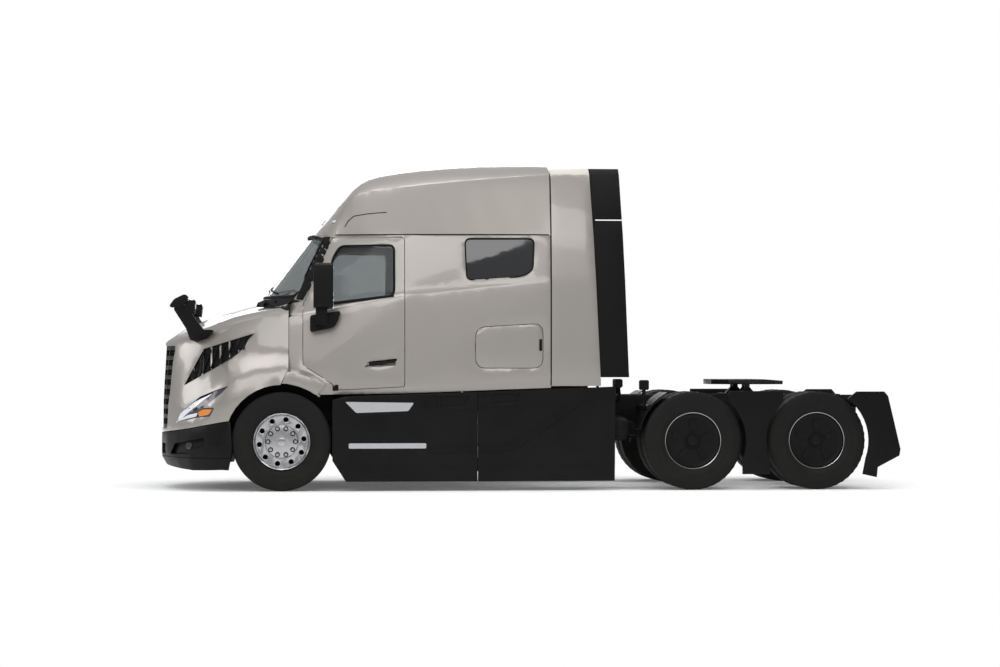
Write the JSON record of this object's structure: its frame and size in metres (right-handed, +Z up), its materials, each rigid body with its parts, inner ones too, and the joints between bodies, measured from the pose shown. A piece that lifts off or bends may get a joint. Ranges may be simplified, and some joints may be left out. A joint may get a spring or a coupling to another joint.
{
  "type": "semi truck tractor unit",
  "caption": "Conventional tractor unit with a raised-roof sleeper cab, steered front axle, tandem drive axles, side skirts and a fifth wheel coupling.",
  "frame": {"origin": "on the ground below the middle of the vehicle's length and width", "axes": "+X to the rear, +Y to the right-hand side, +Z up; the front faces -X"},
  "size_m": [7.821, 2.93, 3.485],
  "materials": {
    "body_paint": "warm light grey metallic paint, clear coated",
    "black_plastic": "black moulded plastic, fine grain",
    "chassis_black": "black chassis paint",
    "aluminium": "polished",
    "tyre_rubber": "matt black rubber",
    "soft_rubber": "matt black flexible sheet",
    "clear_glass": "clear, slightly green",
    "dark_glass": "dark tinted",
    "lamp_lens": "clear lamp lens over white light guides",
    "interior_trim": "dark grey moulded trim and cloth",
    "cast_iron": "bare casting, painted dark",
    "greased_steel": "greased steel plate"
  },
  "bodies": {
    "root": {"ladder_frame": "chassis_black", "bumper": "black_plastic", "front_axle": "chassis_black", "drive_axle_1": "chassis_black", "drive_axle_2": "chassis_black", "prop_shaft": "chassis_black", "engine": "cast_iron", "fuel_tank_left": "aluminium", "fuel_tank_right": "aluminium", "skirt_front_left": "black_plastic", "skirt_front_right": "black_plastic", "skirt_rear_left": "black_plastic", "skirt_rear_right": "black_plastic", "quarter_fender_left": "black_plastic", "quarter_fender_right": "black_plastic", "tandem_fairing_left": "black_plastic", "tandem_fairing_right": "black_plastic", "rear_fairing_left": "black_plastic", "rear_fairing_right": "black_plastic", "fifth_wheel_base": "chassis_black", "cab_shell": "body_paint", "roof_fairing": "body_paint", "sleeper_side_left": "body_paint", "sleeper_side_right": "body_paint", "sleeper_back": "body_paint", "side_extender_left": "body_paint", "side_extender_right": "body_paint", "extender_rubber_left": "soft_rubber", "extender_rubber_right": "soft_rubber", "windshield": "clear_glass", "sleeper_window_left": "dark_glass", "sleeper_window_right": "dark_glass", "cowl": "black_plastic", "cab_interior": "interior_trim"},
    "hood": {"hood_shell": "body_paint", "grille": "black_plastic", "headlamp_left": "lamp_lens", "headlamp_right": "lamp_lens", "hood_mirror_left": "black_plastic", "hood_mirror_right": "black_plastic"},
    "fifth_wheel": {"fifth_wheel_plate": "greased_steel"},
    "tie_rod": {"tie_rod": "chassis_black"},
    "door_left": {"door_left": "body_paint", "door_window_left": "clear_glass", "door_mirror_left": "black_plastic"},
    "luggage_door_left": {"luggage_door_left": "body_paint"},
    "knuckle_left": {"knuckle_left": "cast_iron"},
    "steer_wheel_left": {"steer_tyre_left": "tyre_rubber", "steer_rim_left": "aluminium"},
    "door_right": {"door_right": "body_paint", "door_window_right": "clear_glass", "door_mirror_right": "black_plastic"},
    "luggage_door_right": {"luggage_door_right": "body_paint"},
    "knuckle_right": {"knuckle_right": "cast_iron"},
    "steer_wheel_right": {"steer_tyre_right": "tyre_rubber", "steer_rim_right": "aluminium"},
    "drive_wheel_1_left": {"drive_wheel_1_left": "tyre_rubber"},
    "drive_wheel_1_right": {"drive_wheel_1_right": "tyre_rubber"},
    "drive_wheel_2_left": {"drive_wheel_2_left": "tyre_rubber"},
    "drive_wheel_2_right": {"drive_wheel_2_right": "tyre_rubber"}
  },
  "joints": [
    {"name": "hood_tilt", "type": "hinge", "parent": "root", "child": "hood", "pos_m": [-3.9065, 0, 0.62], "axis": [0, -1, 0], "range_deg": [0, 70]},
    {"name": "fifth_wheel_tilt", "type": "hinge", "parent": "root", "child": "fifth_wheel", "pos_m": [2.4195, 0, 1.07], "axis": [0, 1, 0], "range_deg": [-11, 11]},
    {"name": "door_left_swing", "type": "hinge", "parent": "root", "child": "door_left", "pos_m": [-2.3955, -1.092, 1.85], "axis": [0, 0, -1], "range_deg": [0, 70]},
    {"name": "luggage_left_swing", "type": "hinge", "parent": "root", "child": "luggage_door_left", "pos_m": [-0.5955, -1.204, 1.5], "axis": [0, 0, -1], "range_deg": [0, 90]},
    {"name": "door_right_swing", "type": "hinge", "parent": "root", "child": "door_right", "pos_m": [-2.3955, 1.092, 1.85], "axis": [0, 0, 1], "range_deg": [0, 70]},
    {"name": "luggage_right_swing", "type": "hinge", "parent": "root", "child": "luggage_door_right", "pos_m": [-0.5955, 1.204, 1.5], "axis": [0, 0, 1], "range_deg": [0, 90]},
    {"name": "steer_left", "type": "hinge", "parent": "root", "child": "knuckle_left", "pos_m": [-2.6165, -0.88, 0.517], "axis": [0, 0, 1], "range_deg": [-40, 40]},
    {"name": "steer_right", "type": "hinge", "parent": "root", "child": "knuckle_right", "pos_m": [-2.6165, 0.88, 0.517], "axis": [0, 0, 1], "range_deg": [-40, 40]},
    {"name": "tie_rod_pivot", "type": "hinge", "parent": "knuckle_left", "child": "tie_rod", "pos_m": [-2.4065, -0.88, 0.47], "axis": [0, 0, 1], "range_deg": [-40, 40]},
    {"name": "steer_wheel_left_spin", "type": "hinge", "parent": "knuckle_left", "child": "steer_wheel_left", "pos_m": [-2.6165, -1.03, 0.517], "axis": [0, 1, 0], "continuous": true},
    {"name": "steer_wheel_right_spin", "type": "hinge", "parent": "knuckle_right", "child": "steer_wheel_right", "pos_m": [-2.6165, 1.03, 0.517], "axis": [0, 1, 0], "continuous": true},
    {"name": "drive_wheel_1_left_spin", "type": "hinge", "parent": "root", "child": "drive_wheel_1_left", "pos_m": [1.699, -0.91, 0.517], "axis": [0, 1, 0], "continuous": true},
    {"name": "drive_wheel_1_right_spin", "type": "hinge", "parent": "root", "child": "drive_wheel_1_right", "pos_m": [1.699, 0.91, 0.517], "axis": [0, 1, 0], "continuous": true},
    {"name": "drive_wheel_2_left_spin", "type": "hinge", "parent": "root", "child": "drive_wheel_2_left", "pos_m": [3.02, -0.91, 0.517], "axis": [0, 1, 0], "continuous": true},
    {"name": "drive_wheel_2_right_spin", "type": "hinge", "parent": "root", "child": "drive_wheel_2_right", "pos_m": [3.02, 0.91, 0.517], "axis": [0, 1, 0], "continuous": true}
  ],
  "couplings": [
    {"joint": "steer_right", "follows": "steer_left", "ratio": 1},
    {"joint": "tie_rod_pivot", "follows": "steer_left", "ratio": -1}
  ]
}
